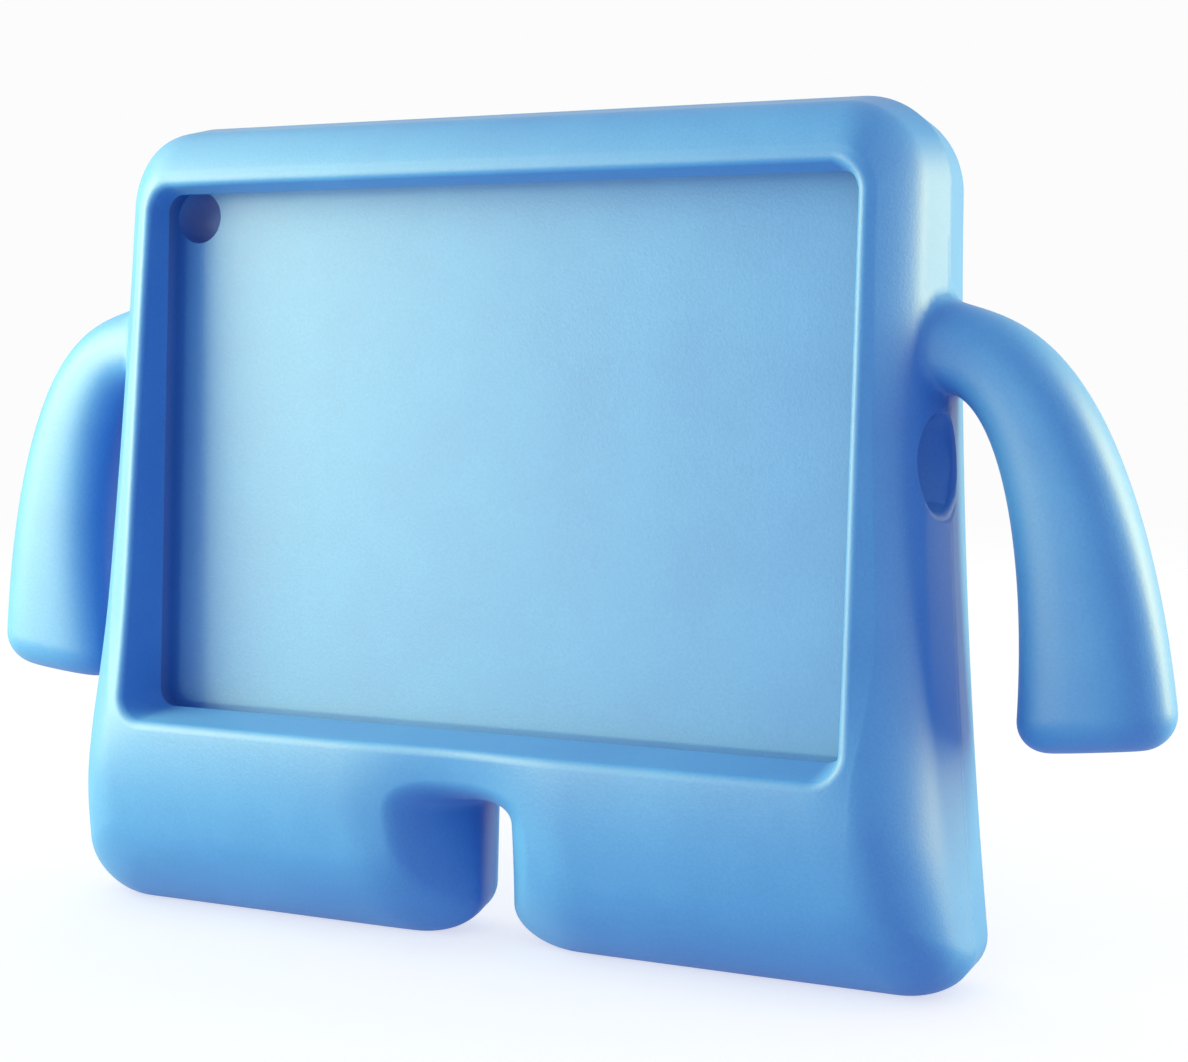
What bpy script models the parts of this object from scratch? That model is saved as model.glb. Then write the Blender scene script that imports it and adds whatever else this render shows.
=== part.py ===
"""Kids tablet case: one solid moulded in EVA foam, a framed pocket with two bowed arms and two feet.

Metres, +Z up, the front faces -Y. The case is drawn upright and then leaned back on its soles. While it is
upright, x runs to the right, y is the depth behind the front of the pocket and z is the height above the
middle of the pocket. The skin of the body is a loft: its sections follow the outline of the legs at the back
and the sides, and the rounded window at the front.
"""

import math

import bmesh
import bpy
import numpy as np
from mathutils import Matrix

# Pocket, a rounded slab that lies on its long side
POCKET_LENGTH = 0.2400
POCKET_HEIGHT = 0.1695
POCKET_DEPTH = 0.0076
POCKET_CORNER = 0.0100
POCKET_FLOOR_ROUND = 0.0040

# Window in front of the pocket, with a lip on all four sides
LIP_SIDE = 0.0060
LIP_TOP = 0.0055
WINDOW_CORNER = 0.0055
WINDOW_DRAFT = math.radians(12)
RIM_ROUND = 0.0032

# Walls round the pocket, at the parting line of the mould
WALL_SIDE = 0.0132
WALL_TOP = 0.0168
LEG_LENGTH = 0.0580
FOOT_SPREAD = 0.0150
SPREAD_POWER = 2.0
FRONT_WALL = 0.0136
FRONT_SLOPE = 0.050
SIDE_TILT = math.radians(24)
TOP_TILT = math.radians(10)
REAR_WALL = 0.0310
PARTING_DEPTH = 0.0150

# Corners of the outline, at the parting line
TOP_CORNER = 0.0250
FOOT_CORNER_WIDTH = 0.0220
FOOT_CORNER_HEIGHT = 0.0150
INNER_CORNER_WIDTH = 0.0215
INNER_CORNER_HEIGHT = 0.0120

# How much smaller each corner gets for each metre that its edge is drawn in
TOP_CORNER_LOSS = 0.80
FOOT_CORNER_LOSS = 0.40
INNER_WIDTH_LOSS = 0.30
INNER_HEIGHT_LOSS = 0.25

# Edges and draft
FRONT_DRAFT = math.radians(10)
REAR_DRAFT = math.radians(5)
FACE_MARGIN = 0.0008
FOOT_EDGE = 0.0240
REAR_EDGE = 0.0095
TOE_ROUND = 0.0270
TOE_SET_BACK = 0.0190
EDGE_POWER = 2.2

# Slot between the legs
SLOT_WIDTH = 0.0115
SLOT_HEIGHT = 0.0428
SLOT_DRAFT = math.radians(20)
SLOT_CREASE = 0.0040
SLOT_EDGE = 0.0095
ARCH_EDGE = 0.0080
ARCH_POWER = 2.8

# Shallow valley in the front face, from the top of the slot up to the window
VALLEY_DEPTH = 0.0066
VALLEY_HALF = 0.0380
VALLEY_REACH = 0.0100

# Arms, from the side walls outwards and down
ARM_ROOT_HEIGHT = 0.0325
ARM_ROOT_SINK = 0.0035
ARM_BURIED = 0.0030
ARM_REACH = 0.0445
ARM_DROP = 0.1064
ARM_BOW = 0.76
ARM_ROOT_WIDTH = 0.0215
ARM_END_WIDTH = 0.0444
ARM_WIDTH_POWER = 0.95
ARM_ROOT_THICKNESS = 0.0280
ARM_END_THICKNESS = 0.0250
ARM_ROOT_DEPTH = 0.0160
ARM_END_DEPTH = 0.0270
ARM_END_ROUND = 0.0100
ARM_END_TILT = math.radians(6)
ARM_ROOT_FLARE = 0.0066
ARM_FLARE_LENGTH = 0.0045
ARM_SECTION_POWER = 2.35

# Opening for the charging plug, through the right wall and level with the middle of the pocket
PORT_HEIGHT = 0.0270
PORT_WIDTH = 0.0216
PORT_CENTRE = 0.0112
PORT_RAISE = 0.0020
PORT_THROAT_HEIGHT = 0.0220
PORT_THROAT_WIDTH = 0.0096
PORT_THROAT_CENTRE = 0.0040
PORT_THROAT_LENGTH = 0.0032
PORT_EDGE = 0.0020

# Hole for a rear camera, in a corner of the pocket floor
LENS_INSET = 0.0117
LENS_RADIUS = 0.0080
LENS_THROAT_LENGTH = 0.0032
LENS_FLARE = 0.0050

LEAN = math.radians(3.5)
CUT_MARGIN = 0.004
FOAM_COLOUR = (0.058, 0.219, 0.604, 1.0)
FOAM_ROUGHNESS = 0.55

# Points along each stretch of half the outline, from the top centre round to the top of the slot
TOP_POINTS = 6
TOP_CORNER_POINTS = 8
SIDE_POINTS = 14
FOOT_CORNER_POINTS = 8
SOLE_POINTS = 7
INNER_CORNER_POINTS = 6
SLOT_POINTS = 4
ARCH_POINTS = 6

# Sections along each stretch of the skin
STRAIGHT_STEPS = 3
ROUND_STEPS = 7
REAR_STEPS = 6
REAR_WALL_STEPS = 4
FACE_STEPS = 4
RIM_STEPS = 4
FLOOR_STEPS = 3
ARM_STEPS = 18
ARM_END_STEPS = 5
ARM_POINTS = 28
PORT_POINTS = 32
LENS_POINTS = 40
PORT_EDGE_STEPS = 3
PATH_SAMPLES = 400
MERGE_DISTANCE = 0.00001

QUARTER = math.pi / 2
WINDOW_HALF = POCKET_LENGTH / 2 - LIP_SIDE
WINDOW_RISE = POCKET_HEIGHT / 2 - LIP_TOP
HALF_WIDTH = POCKET_LENGTH / 2 + WALL_SIDE
TOP = POCKET_HEIGHT / 2 + WALL_TOP
SOLE = -POCKET_HEIGHT / 2 - LEG_LENGTH
BACK = POCKET_DEPTH + REAR_WALL
RUN = PARTING_DEPTH + FRONT_WALL
RIM_GROWTH = (FRONT_WALL - RIM_ROUND * (1 - math.sin(WINDOW_DRAFT))) * math.tan(WINDOW_DRAFT) + (
    RIM_ROUND * math.cos(WINDOW_DRAFT)
)
OUTLINE_COUNTS = (
    TOP_POINTS,
    TOP_CORNER_POINTS,
    SIDE_POINTS,
    FOOT_CORNER_POINTS,
    SOLE_POINTS,
    INNER_CORNER_POINTS,
    SLOT_POINTS,
    ARCH_POINTS,
)

# Where the stretches of the legs' outline meet the lower edge of the window, as shares of its half
LEG_SHARE = 0.55
INNER_SHARE = 0.39
SLOT_SHARE = 0.12


def smooth_step(start, end, value):
    """0 before start and 1 after end, with a soft cubic change between them."""
    share = np.clip((value - start) / (end - start), 0, 1)
    return share * share * (3 - 2 * share)


def stretch(start, end, count):
    """Even steps from start to just before end."""
    return np.linspace(start, end, count, endpoint=False)


def pairs(across, up):
    """Points of the outline from two arrays, or from an array and one number."""
    across, up = np.broadcast_arrays(across, up)
    return np.stack([across, up], axis=1)


def section(outline, depth):
    """One section of the skin: the outline at its depth, which may vary round it."""
    return np.stack([outline[:, 0], np.broadcast_to(depth, len(outline)), outline[:, 1]], axis=1)


def lowness(height):
    """0 beside the upper window, 1 from the middle of the legs down."""
    return 1 - smooth_step(SOLE + LEG_LENGTH / 2, -WINDOW_RISE / 2, height)


def wall_x(height, side_inset, foot_inset):
    """Outer face of the right wall: it spreads downwards, and its inset changes towards the foot."""
    down = np.clip((TOP - height) / (TOP - SOLE), 0, 1)
    widest = HALF_WIDTH + FOOT_SPREAD * down**SPREAD_POWER
    return widest - side_inset - (foot_inset - side_inset) * lowness(height)


def half_outline(side_inset, foot_inset, top_inset, sole_inset, slot_inset, arch_inset):
    """The right half of the body seen from the front, drawn in by an inset of its own on each side."""
    top = TOP - top_inset
    sole = SOLE + sole_inset
    slot = SLOT_WIDTH / 2 + slot_inset
    arch_base = SOLE + SLOT_HEIGHT - SLOT_WIDTH / 2
    corner = max(TOP_CORNER - TOP_CORNER_LOSS * top_inset, RIM_ROUND)
    foot_width = max(FOOT_CORNER_WIDTH - FOOT_CORNER_LOSS * sole_inset, RIM_ROUND)
    foot_height = max(FOOT_CORNER_HEIGHT - FOOT_CORNER_LOSS * sole_inset, RIM_ROUND)
    inner_width = max(INNER_CORNER_WIDTH - INNER_WIDTH_LOSS * (sole_inset + slot_inset), RIM_ROUND)
    inner_height = max(INNER_CORNER_HEIGHT - INNER_HEIGHT_LOSS * sole_inset, RIM_ROUND)

    turn = stretch(QUARTER, 0, TOP_CORNER_POINTS)
    height = top - corner + corner * np.sin(turn)
    across = wall_x(height, side_inset, foot_inset) - corner * (1 - np.cos(turn))
    top_edge = pairs(stretch(0, across[0], TOP_POINTS), top)
    top_corner = pairs(across, height)

    height = stretch(top - corner, sole + foot_height, SIDE_POINTS)
    side = pairs(wall_x(height, side_inset, foot_inset), height)

    turn = stretch(0, QUARTER, FOOT_CORNER_POINTS)
    height = sole + foot_height * (1 - np.sin(turn))
    across = wall_x(height, side_inset, foot_inset) - foot_width * (1 - np.cos(turn))
    foot_corner = pairs(across, height)

    foot_end = wall_x(sole, side_inset, foot_inset) - foot_width
    bottom = pairs(stretch(foot_end, slot + inner_width, SOLE_POINTS), sole)

    turn = stretch(0, QUARTER, INNER_CORNER_POINTS)
    across = slot + inner_width * (1 - np.sin(turn))
    inner_corner = pairs(across, sole + inner_height * (1 - np.cos(turn)))
    inner_side = pairs(slot, stretch(sole + inner_height, arch_base, SLOT_POINTS))

    turn = np.linspace(0, QUARTER, ARCH_POINTS)
    arch_rise = SLOT_WIDTH / 2 + arch_inset
    power = 2 / ARCH_POWER
    arch = pairs(slot * np.cos(turn) ** power, arch_base + arch_rise * np.sin(turn) ** power)
    arch[-1, 0] = 0
    return np.concatenate([top_edge, top_corner, side, foot_corner, bottom, inner_corner, inner_side, arch])


def half_rectangle(half_width, half_height, corner):
    """The right half of a rounded rectangle, with one point for each point of half_outline."""
    across = half_width - corner
    up = half_height - corner
    down_turn = stretch(QUARTER, 0, TOP_CORNER_POINTS)
    under_turn = stretch(0, QUARTER, FOOT_CORNER_POINTS)
    leg = LEG_SHARE * half_width
    inner = INNER_SHARE * half_width
    slot = SLOT_SHARE * half_width
    return np.concatenate(
        [
            pairs(stretch(0, across, TOP_POINTS), half_height),
            pairs(across + corner * np.cos(down_turn), up + corner * np.sin(down_turn)),
            pairs(half_width, stretch(up, -up, SIDE_POINTS)),
            pairs(across + corner * np.cos(under_turn), -up - corner * np.sin(under_turn)),
            pairs(stretch(across, leg, SOLE_POINTS), -half_height),
            pairs(stretch(leg, inner, INNER_CORNER_POINTS), -half_height),
            pairs(stretch(inner, slot, SLOT_POINTS), -half_height),
            pairs(np.linspace(slot, 0, ARCH_POINTS), -half_height),
        ]
    )


def window_outline(growth, splay):
    """The window grown on all sides. Its splay widens it downwards, where its wall is deeper."""
    outline = half_rectangle(WINDOW_HALF + growth, WINDOW_RISE + growth, WINDOW_CORNER + growth)
    outline[:, 0] *= 1 - splay * outline[:, 1] / (WINDOW_HALF + growth)
    outline[:, 1] -= splay * WINDOW_RISE
    return outline


def soft_positive(value, margin):
    """0 below -margin and the value itself above margin, joined by a parabola that is tangent to both."""
    return np.clip(value + margin, 0, 2 * margin) ** 2 / (4 * margin) + np.maximum(value - margin, 0)


def front_depth(outline):
    """Depth of the front face: it comes forward downwards, and falls away at its edges and to the toes."""
    height = outline[:, 1]
    beside = soft_positive(np.abs(outline[:, 0]) - WINDOW_HALF, RIM_GROWTH) * (1 - lowness(height))
    above = np.maximum(height - WINDOW_RISE, 0)
    below = np.maximum(-height - WINDOW_RISE, 0)
    fall = np.hypot(beside * math.tan(SIDE_TILT), above * math.tan(TOP_TILT))
    toes = TOE_SET_BACK * (below / LEG_LENGTH) ** 2
    return -FRONT_WALL + FRONT_SLOPE * height + fall + toes + valley(outline)


def valley(outline):
    """How far the front face sinks between the legs."""
    across = 1 - smooth_step(0, VALLEY_HALF, np.abs(outline[:, 0]))
    down = smooth_step(VALLEY_REACH - WINDOW_RISE, SOLE + SLOT_HEIGHT - VALLEY_REACH, outline[:, 1])
    return VALLEY_DEPTH * across * down


def slot_opening(run):
    """How much each side of the slot has drawn back at a distance from its softly rounded crease."""
    return math.tan(SLOT_DRAFT) * (np.hypot(run, SLOT_CREASE) - SLOT_CREASE)


def edge_radius(wall, tilt):
    """Radius of the arc that takes a drafted wall round to the tilted face beside the window's rim."""
    reach = wall - FACE_MARGIN - RUN * math.tan(FRONT_DRAFT)
    arc_width = math.cos(FRONT_DRAFT) - math.sin(tilt)
    arc_height = math.cos(tilt) - math.sin(FRONT_DRAFT)
    return reach / (arc_width - arc_height * math.tan(FRONT_DRAFT))


def drafted_edge(radius, tilt):
    """Insets of a drafted wall and the arc in front of it, and how far forward each is as a share."""
    forward = RUN - radius * (math.cos(tilt) - math.sin(FRONT_DRAFT))
    inset = forward * math.tan(FRONT_DRAFT)
    straight = stretch(0, 1, STRAIGHT_STEPS)
    angle = np.linspace(FRONT_DRAFT, QUARTER - tilt, ROUND_STEPS)
    round_inset = inset + radius * (math.cos(FRONT_DRAFT) - np.cos(angle))
    round_forward = forward + radius * (np.sin(angle) - math.sin(FRONT_DRAFT))
    insets = np.concatenate([straight * inset, round_inset])
    return insets, np.concatenate([straight * forward, round_forward]) / RUN


def soft_edge():
    """Insets and forward steps, both as shares, of a full and soft edge such as that of the toes."""
    turn = np.linspace(0, QUARTER, STRAIGHT_STEPS + ROUND_STEPS)
    power = 2 / EDGE_POWER
    insets = 1 - np.clip(np.cos(turn), 0, 1) ** power
    return insets, np.sin(turn) ** power


def blends():
    """For each point of the outline, how much it belongs to the top edge and how much to the legs."""
    ends = np.cumsum(OUTLINE_COUNTS)
    place = np.arange(ends[-1])
    at_top = 1 - smooth_step(ends[0], ends[1], place)
    at_legs = smooth_step(ends[2], ends[3], place)
    return at_top, at_legs


def front_sections():
    """From the parting line forward to the front face."""
    side_wall = HALF_WIDTH - WINDOW_HALF - RIM_GROWTH
    top_wall = TOP - WINDOW_RISE - RIM_GROWTH
    side, side_forward = drafted_edge(edge_radius(side_wall, SIDE_TILT), SIDE_TILT)
    top, top_forward = drafted_edge(edge_radius(top_wall, TOP_TILT), TOP_TILT)
    foot, foot_forward = drafted_edge(FOOT_EDGE, 0)
    soft, soft_forward = soft_edge()
    slot_draft = slot_opening(RUN * soft_forward)
    at_top, at_legs = blends()
    sections = []
    for step in range(len(soft)):
        outline = half_outline(
            side[step],
            foot[step],
            top[step],
            TOE_ROUND * soft[step],
            SLOT_EDGE * soft[step] + slot_draft[step],
            ARCH_EDGE * soft[step],
        )
        low = lowness(outline[:, 1])
        forward = side_forward[step] + (foot_forward[step] - side_forward[step]) * low
        forward = forward + (top_forward[step] - forward) * at_top
        forward = forward + (soft_forward[step] - forward) * at_legs
        depth = PARTING_DEPTH + (front_depth(outline) - PARTING_DEPTH) * forward
        sections.append(section(outline, depth))
    return sections


def rear_sections():
    """From just behind the parting line back to the rear face. The soles stay flat as far as its edge."""
    straight = BACK - REAR_EDGE - PARTING_DEPTH
    sections = []
    for run in straight * np.linspace(0, 1, REAR_WALL_STEPS + 1)[1:-1]:
        inset = run * math.tan(REAR_DRAFT)
        outline = half_outline(inset, inset, inset, 0, slot_opening(run), 0)
        sections.append(section(outline, PARTING_DEPTH + run))
    for turn in np.linspace(0, QUARTER, REAR_STEPS):
        edge = REAR_EDGE * (1 - math.cos(turn))
        inset = straight * math.tan(REAR_DRAFT) + edge
        outline = half_outline(inset, inset, inset, edge, slot_opening(straight) + edge, edge)
        sections.append(section(outline, BACK - REAR_EDGE * (1 - math.sin(turn))))
    return sections


def face_sections(edge):
    """Across the front face, from its outer edge to the rim of the window."""
    outer = edge[:, [0, 2]]
    rim = window_outline(RIM_GROWTH, FRONT_SLOPE * math.tan(WINDOW_DRAFT))
    outlines = [outer + (rim - outer) * step / FACE_STEPS for step in range(1, FACE_STEPS + 1)]
    return [section(outline, front_depth(outline)) for outline in outlines]


def pocket_sections():
    """Round the rim, down the wall of the window, out behind the lips and down to the pocket's floor."""
    sections = []
    splay = FRONT_SLOPE * math.tan(WINDOW_DRAFT)
    for turn in np.linspace(0, QUARTER - WINDOW_DRAFT, RIM_STEPS + 1)[1:]:
        outline = window_outline(RIM_GROWTH - RIM_ROUND * math.sin(turn), splay)
        sections.append(section(outline, front_depth(outline) + RIM_ROUND * (1 - math.cos(turn))))
    sections.append(section(window_outline(0, 0), 0))
    sections.append(section(pocket_outline(0), 0))
    for turn in np.linspace(0, QUARTER, FLOOR_STEPS + 1):
        outline = pocket_outline(POCKET_FLOOR_ROUND * (1 - math.cos(turn)))
        sections.append(section(outline, POCKET_DEPTH - POCKET_FLOOR_ROUND * (1 - math.sin(turn))))
    return sections


def pocket_outline(inset):
    return half_rectangle(POCKET_LENGTH / 2 - inset, POCKET_HEIGHT / 2 - inset, POCKET_CORNER - inset)


def flat_sole(places):
    """Slants the soles by the lean, so that they lie flat on the floor once the case leans back."""
    near_sole = smooth_step(SOLE + LEG_LENGTH, SOLE, places[:, 2])
    places[:, 2] += math.tan(LEAN) * (places[:, 1] - PARTING_DEPTH) * near_sole
    return places


def loft(name, sections, is_closed):
    """A skin through sections of equal count, with a flat face on its first and last section."""
    count = len(sections[0])
    places = flat_sole(np.concatenate(sections))
    ahead = [(step, (step + 1) % count) for step in range(count if is_closed else count - 1)]
    faces = []
    for row in range(0, (len(sections) - 1) * count, count):
        for step, following in ahead:
            faces.append((row + step, row + following, row + count + following, row + count + step))
    last = (len(sections) - 1) * count
    faces.append(tuple(range(count)))
    faces.append(tuple(range(last, last + count)))
    mesh = bpy.data.meshes.new(name)
    mesh.from_pydata(places.tolist(), [], faces)
    outward = bmesh.new()
    outward.from_mesh(mesh)
    bmesh.ops.recalc_face_normals(outward, faces=outward.faces)
    outward.to_mesh(mesh)
    outward.free()
    return bpy.data.objects.new(name, mesh)


def make_body():
    """The body without its openings: the right half, mirrored."""
    rear = rear_sections()
    front = front_sections()
    panel = section(window_outline(0, 0), BACK)
    sections = [panel, *reversed(rear), *front, *face_sections(front[-1]), *pocket_sections()]
    body = loft("case", sections, is_closed=False)
    add_mirror(body)
    return body


def add_mirror(obj):
    mirror = obj.modifiers.new("Left half", "MIRROR")
    mirror.merge_threshold = MERGE_DISTANCE


def make_arms():
    """The right arm, an oval that widens along a bow to a blunt round end, and its mirror image."""
    bow = np.linspace(0, QUARTER, PATH_SAMPLES)
    path_x = ARM_REACH * np.sin(bow) ** ARM_BOW
    path_z = ARM_DROP * (np.cos(bow) - 1)
    lengths = np.hypot(np.diff(path_x), np.diff(path_z))
    along = np.concatenate([[0], np.cumsum(lengths)])
    length = along[-1]
    heading = np.unwrap(np.arctan2(np.gradient(path_z), np.gradient(path_x)))

    turn = np.linspace(0, QUARTER, ARM_END_STEPS + 1)[1:]
    start = length - ARM_END_ROUND
    stations = np.concatenate([np.linspace(0, start, ARM_STEPS), start + ARM_END_ROUND * np.sin(turn)])
    shrink = np.concatenate([np.zeros(ARM_STEPS), ARM_END_ROUND * (1 - np.cos(turn))])

    angle = stretch(0, 2 * math.pi, ARM_POINTS)
    power = 2 / ARM_SECTION_POWER
    oval_across = np.sign(np.cos(angle)) * np.abs(np.cos(angle)) ** power
    oval_deep = np.sign(np.sin(angle)) * np.abs(np.sin(angle)) ** power
    sections = []
    for station, less in zip(stations, shrink):
        share = station / length
        half = (ARM_ROOT_WIDTH + (ARM_END_WIDTH - ARM_ROOT_WIDTH) * share**ARM_WIDTH_POWER) / 2 - less
        thick = (ARM_ROOT_THICKNESS + (ARM_END_THICKNESS - ARM_ROOT_THICKNESS) * share) / 2 - less
        depth = ARM_ROOT_DEPTH + (ARM_END_DEPTH - ARM_ROOT_DEPTH) * share
        turned = np.interp(station, along, heading) + ARM_END_TILT * share**2
        x = HALF_WIDTH - ARM_BURIED + np.interp(station, along, path_x)
        z = ARM_ROOT_HEIGHT + np.interp(station, along, path_z)
        flare = ARM_ROOT_FLARE * math.exp(-station / ARM_FLARE_LENGTH)
        across = half * oval_across + flare * np.maximum(oval_across, 0) ** 2
        outline = pairs(x - across * math.sin(turned), z + across * math.cos(turned))
        sections.append(section(outline, depth + thick * oval_deep))
    buried = sections[0] - np.array([ARM_ROOT_SINK, 0, 0])
    arms = loft("arms", [buried, *sections], is_closed=True)
    add_mirror(arms)
    return arms


def ellipse(height, width, centre, x, angle):
    """An upright oval in the side wall: x may vary round it."""
    depth = centre + width / 2 * np.cos(angle)
    rise = PORT_RAISE + height / 2 * np.sin(angle)
    return np.stack([np.broadcast_to(x, len(angle)), depth, rise], axis=1)


def make_port_cutter():
    """From a narrow throat beside the pocket to a wide oval mouth whose edge follows the drafted wall."""
    angle = stretch(0, 2 * math.pi, PORT_POINTS)
    sections = []
    inside = POCKET_LENGTH / 2 - CUT_MARGIN
    sections.append(ellipse(PORT_THROAT_HEIGHT, PORT_THROAT_WIDTH, PORT_THROAT_CENTRE, inside, angle))
    throat = POCKET_LENGTH / 2 + PORT_THROAT_LENGTH
    sections.append(ellipse(PORT_THROAT_HEIGHT, PORT_THROAT_WIDTH, PORT_THROAT_CENTRE, throat, angle))
    mouth = []
    for turn in np.linspace(0, QUARTER, PORT_EDGE_STEPS + 1):
        mouth.append((PORT_EDGE * (1 - math.cos(turn)), PORT_EDGE * (math.sin(turn) - 1)))
    mouth.append((PORT_EDGE + CUT_MARGIN, CUT_MARGIN))
    for growth, beyond in mouth:
        oval = ellipse(PORT_HEIGHT + 2 * growth, PORT_WIDTH + 2 * growth, PORT_CENTRE, 0, angle)
        draft = np.minimum(oval[:, 1] - PARTING_DEPTH, 0) * math.tan(FRONT_DRAFT)
        oval[:, 0] = wall_x(PORT_RAISE, 0, 0) + draft + beyond
        sections.append(oval)
    return loft("port_cutter", sections, is_closed=True)


def make_lens_cutter():
    """A turned plug: straight through the pocket floor, then flared like a horn to the rear face."""
    near = POCKET_DEPTH - CUT_MARGIN
    turns = np.linspace(0, QUARTER, RIM_STEPS + 1)
    profile = [(0, near), (LENS_RADIUS, near), (LENS_RADIUS, POCKET_DEPTH + LENS_THROAT_LENGTH)]
    flare_start = (BACK + POCKET_DEPTH) / 2
    flare_run = BACK - flare_start
    for turn in turns:
        radius = LENS_RADIUS + LENS_FLARE * (1 - math.cos(turn))
        profile.append((radius, flare_start + flare_run * math.sin(turn)))
    profile.append((LENS_RADIUS + LENS_FLARE, BACK + CUT_MARGIN))
    profile.append((0, BACK + CUT_MARGIN))
    mesh = bpy.data.meshes.new("lens_cutter")
    edges = [(step, step + 1) for step in range(len(profile) - 1)]
    mesh.from_pydata([(radius, depth, 0) for radius, depth in reversed(profile)], edges, [])
    cutter = bpy.data.objects.new("lens_cutter", mesh)
    turned = cutter.modifiers.new("Turned", "SCREW")
    turned.axis = "Y"
    turned.steps = LENS_POINTS
    turned.render_steps = LENS_POINTS
    turned.use_merge_vertices = True
    turned.merge_threshold = MERGE_DISTANCE
    turned.use_normal_calculate = True
    x = -(POCKET_LENGTH / 2 - LENS_INSET)
    z = POCKET_HEIGHT / 2 - LENS_INSET
    cutter.matrix_world = Matrix.Translation((x, 0, z))
    return cutter


def add_boolean(obj, other, operation):
    cut = obj.modifiers.new(other.name, "BOOLEAN")
    cut.operation = operation
    cut.solver = "EXACT"
    cut.object = other


def stand_matrix(body):
    """Leans the upright case back onto its soles and sets the middle of its depth over the origin."""
    turn = Matrix.Rotation(-LEAN, 4, "X")
    depths = [(turn @ vertex.co).y for vertex in body.data.vertices]
    floor = SOLE * math.cos(LEAN) - PARTING_DEPTH * math.sin(LEAN)
    return Matrix.Translation((0, -(min(depths) + max(depths)) / 2, -floor)) @ turn


def make_foam():
    foam = bpy.data.materials.new("blue_eva_foam")
    foam.use_nodes = True
    shader = foam.node_tree.nodes["Principled BSDF"]
    shader.inputs["Base Color"].default_value = FOAM_COLOUR
    shader.inputs["Roughness"].default_value = FOAM_ROUGHNESS
    return foam


def make_collection(name, objects):
    collection = bpy.data.collections.new(name)
    bpy.context.scene.collection.children.link(collection)
    for obj in objects:
        collection.objects.link(obj)


def build():
    for obj in list(bpy.data.objects):
        bpy.data.objects.remove(obj, do_unlink=True)
    body = make_body()
    arms = make_arms()
    port = make_port_cutter()
    lens = make_lens_cutter()
    make_collection("kids_tablet_case", [body])
    make_collection("cutters", [arms, port, lens])
    add_boolean(body, arms, "UNION")
    add_boolean(body, port, "DIFFERENCE")
    add_boolean(body, lens, "DIFFERENCE")

    stand = stand_matrix(body)
    for obj in (body, arms, port):
        obj.data.transform(stand)
    lens.matrix_world = stand @ lens.matrix_world
    for cutter in (arms, port, lens):
        cutter.hide_render = True
        cutter.display_type = "WIRE"
    body.data.materials.append(make_foam())


build()
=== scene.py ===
"""Kids tablet case in matte blue EVA foam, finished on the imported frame.

Lengths are in metres. The case is drawn upright, with x to the right, y the depth behind the front of the
pocket and z the height above the middle of the pocket, and then it is leaned back onto its soles. Each
surface is a grid of rings: rings run along the first axis of an array and points of a ring along the second.
"""

import math

import bmesh
import bpy
import numpy as np
from mathutils import Matrix, Vector


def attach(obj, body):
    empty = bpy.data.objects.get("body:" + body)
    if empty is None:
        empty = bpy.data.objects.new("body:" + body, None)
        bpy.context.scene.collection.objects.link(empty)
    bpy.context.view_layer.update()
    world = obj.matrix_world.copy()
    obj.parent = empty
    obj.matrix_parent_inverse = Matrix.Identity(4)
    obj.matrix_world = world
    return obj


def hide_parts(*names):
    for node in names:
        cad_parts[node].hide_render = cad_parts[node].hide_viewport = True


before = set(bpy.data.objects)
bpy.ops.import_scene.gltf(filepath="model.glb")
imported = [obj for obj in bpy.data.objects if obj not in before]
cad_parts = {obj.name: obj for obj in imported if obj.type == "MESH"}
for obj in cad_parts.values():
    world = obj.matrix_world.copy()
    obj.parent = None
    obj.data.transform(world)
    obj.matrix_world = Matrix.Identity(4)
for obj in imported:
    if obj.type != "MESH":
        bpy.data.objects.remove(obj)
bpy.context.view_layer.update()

# Pocket and the window in front of it
POCKET_LENGTH = 0.2400
POCKET_HEIGHT = 0.1695
POCKET_DEPTH = 0.0076
POCKET_CORNER = 0.0100
POCKET_FLOOR_ROUND = 0.0040
LIP_SIDE = 0.0060
LIP_TOP = 0.0055
WINDOW_CORNER = 0.0055
WINDOW_DRAFT = math.radians(12)
RIM_ROUND = 0.0032
LIP_EDGE = 0.0007
FLOOR_MARGIN = 0.0030

# Walls, at the parting line of the mould
WALL_SIDE = 0.0132
WALL_TOP = 0.0168
LEG_LENGTH = 0.0580
FOOT_SPREAD = 0.0150
SPREAD_POWER = 2.0
FRONT_WALL = 0.0136
FRONT_SLOPE = 0.050
SIDE_TILT = math.radians(24)
TOP_TILT = math.radians(10)
REAR_WALL = 0.0310
PARTING_DEPTH = 0.0150
PARTING_RIDGE = 0.00022
PARTING_RIDGE_WIDTH = 0.0009

# Corners of the outline, and how much smaller each gets for each metre that its edge is drawn in
TOP_CORNER = 0.0250
FOOT_CORNER_WIDTH = 0.0220
FOOT_CORNER_HEIGHT = 0.0150
INNER_CORNER_WIDTH = 0.0215
INNER_CORNER_HEIGHT = 0.0120
TOP_CORNER_LOSS = 0.80
FOOT_CORNER_LOSS = 0.40
INNER_WIDTH_LOSS = 0.30
INNER_HEIGHT_LOSS = 0.25

# Edges, draft and the slot between the legs
FRONT_DRAFT = math.radians(10)
REAR_DRAFT = math.radians(5)
FACE_MARGIN = 0.0008
FOOT_EDGE = 0.0240
REAR_EDGE = 0.0095
TOE_ROUND = 0.0270
TOE_SET_BACK = 0.0190
EDGE_POWER = 2.2
SLOT_WIDTH = 0.0115
SLOT_HEIGHT = 0.0428
SLOT_DRAFT = math.radians(20)
SLOT_CREASE = 0.0040
SLOT_EDGE = 0.0095
ARCH_EDGE = 0.0080
ARCH_POWER = 2.8

# Shallow valley in the front face, from the top of the slot up to the window
VALLEY_DEPTH = 0.0066
VALLEY_HALF = 0.0380
VALLEY_REACH = 0.0100

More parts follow.
